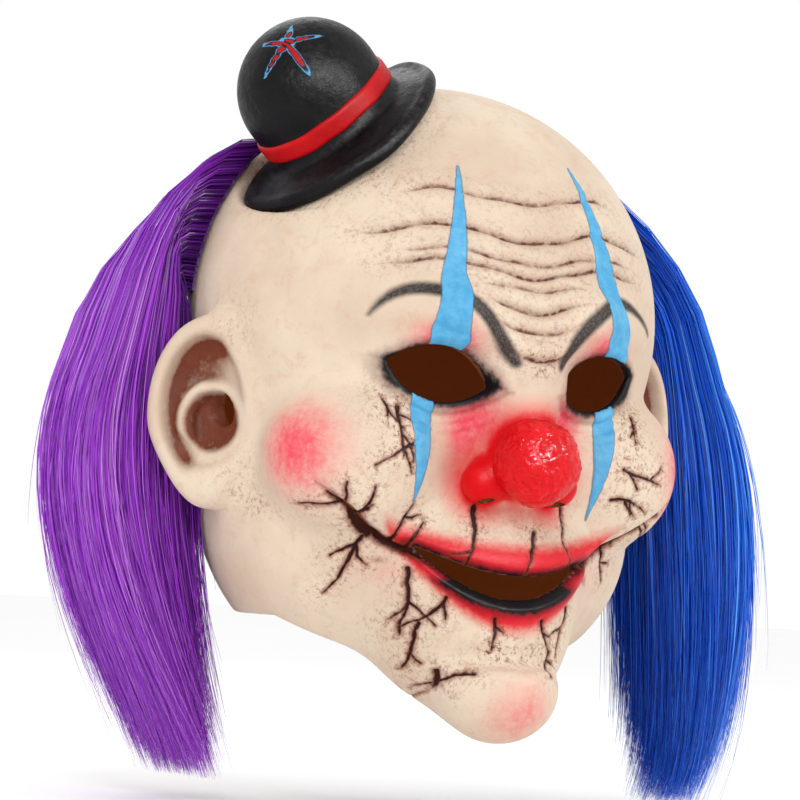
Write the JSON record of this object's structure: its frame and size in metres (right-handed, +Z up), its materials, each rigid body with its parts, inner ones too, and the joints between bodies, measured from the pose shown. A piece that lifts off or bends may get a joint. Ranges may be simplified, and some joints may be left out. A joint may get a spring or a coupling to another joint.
{
  "type": "latex halloween mask",
  "caption": "Full-head latex clown mask: cut-out eyes, mouth and ear holes, a separate ball nose, a small bowler hat and swinging locks of synthetic hair on both sides.",
  "frame": {"origin": "middle of the wearer's head, level with the ear holes and midway between the ears", "axes": "+Z up towards the crown, -Y the way the face looks, -X towards the purple hair on the wearer's right"},
  "size_m": [0.3428, 0.2485, 0.3438],
  "materials": {
    "latex_skin": "matte cream latex with airbrushed colour",
    "nose_gloss": "glossy red",
    "hat_black": "satin black, worn",
    "band_red": "satin red",
    "purple_tape": "woven",
    "purple_hair": "sheen of synthetic fibre",
    "blue_tape": "woven",
    "blue_hair": "sheen of synthetic fibre"
  },
  "bodies": {
    "head": {"head_skin": "latex_skin", "nose_ball": "nose_gloss", "hat_shell": "hat_black", "hat_band": "band_red", "purple_weft_tape_front": "purple_tape", "purple_hair_root_front": "purple_hair", "purple_weft_tape_mid": "purple_tape", "purple_hair_root_mid": "purple_hair", "purple_weft_tape_rear": "purple_tape", "purple_hair_root_rear": "purple_hair", "blue_weft_tape_front": "blue_tape", "blue_hair_root_front": "blue_hair", "blue_weft_tape_mid": "blue_tape", "blue_hair_root_mid": "blue_hair", "blue_weft_tape_rear": "blue_tape", "blue_hair_root_rear": "blue_hair"},
    "purple_lock_front": {"purple_hair_fall_front": "purple_hair"},
    "purple_lock_mid": {"purple_hair_fall_mid": "purple_hair"},
    "purple_lock_rear": {"purple_hair_fall_rear": "purple_hair"},
    "blue_lock_front": {"blue_hair_fall_front": "blue_hair"},
    "blue_lock_mid": {"blue_hair_fall_mid": "blue_hair"},
    "blue_lock_rear": {"blue_hair_fall_rear": "blue_hair"}
  },
  "joints": [
    {"name": "purple_front_swing", "type": "hinge", "parent": "head", "child": "purple_lock_front", "pos_m": [-0.124, 0.0395, 0.034], "axis": [0, 1, 0], "range_deg": [0, 50]},
    {"name": "purple_mid_swing", "type": "hinge", "parent": "head", "child": "purple_lock_mid", "pos_m": [-0.124, 0.0595, 0.034], "axis": [0, 1, 0], "range_deg": [0, 50]},
    {"name": "purple_rear_swing", "type": "hinge", "parent": "head", "child": "purple_lock_rear", "pos_m": [-0.124, 0.0795, 0.034], "axis": [0, 1, 0], "range_deg": [0, 50]},
    {"name": "blue_front_swing", "type": "hinge", "parent": "head", "child": "blue_lock_front", "pos_m": [0.15, 0.036, 0.034], "axis": [0, -1, 0], "range_deg": [0, 50]},
    {"name": "blue_mid_swing", "type": "hinge", "parent": "head", "child": "blue_lock_mid", "pos_m": [0.15, 0.051, 0.034], "axis": [0, -1, 0], "range_deg": [0, 50]},
    {"name": "blue_rear_swing", "type": "hinge", "parent": "head", "child": "blue_lock_rear", "pos_m": [0.15, 0.066, 0.034], "axis": [0, -1, 0], "range_deg": [0, 50]}
  ]
}
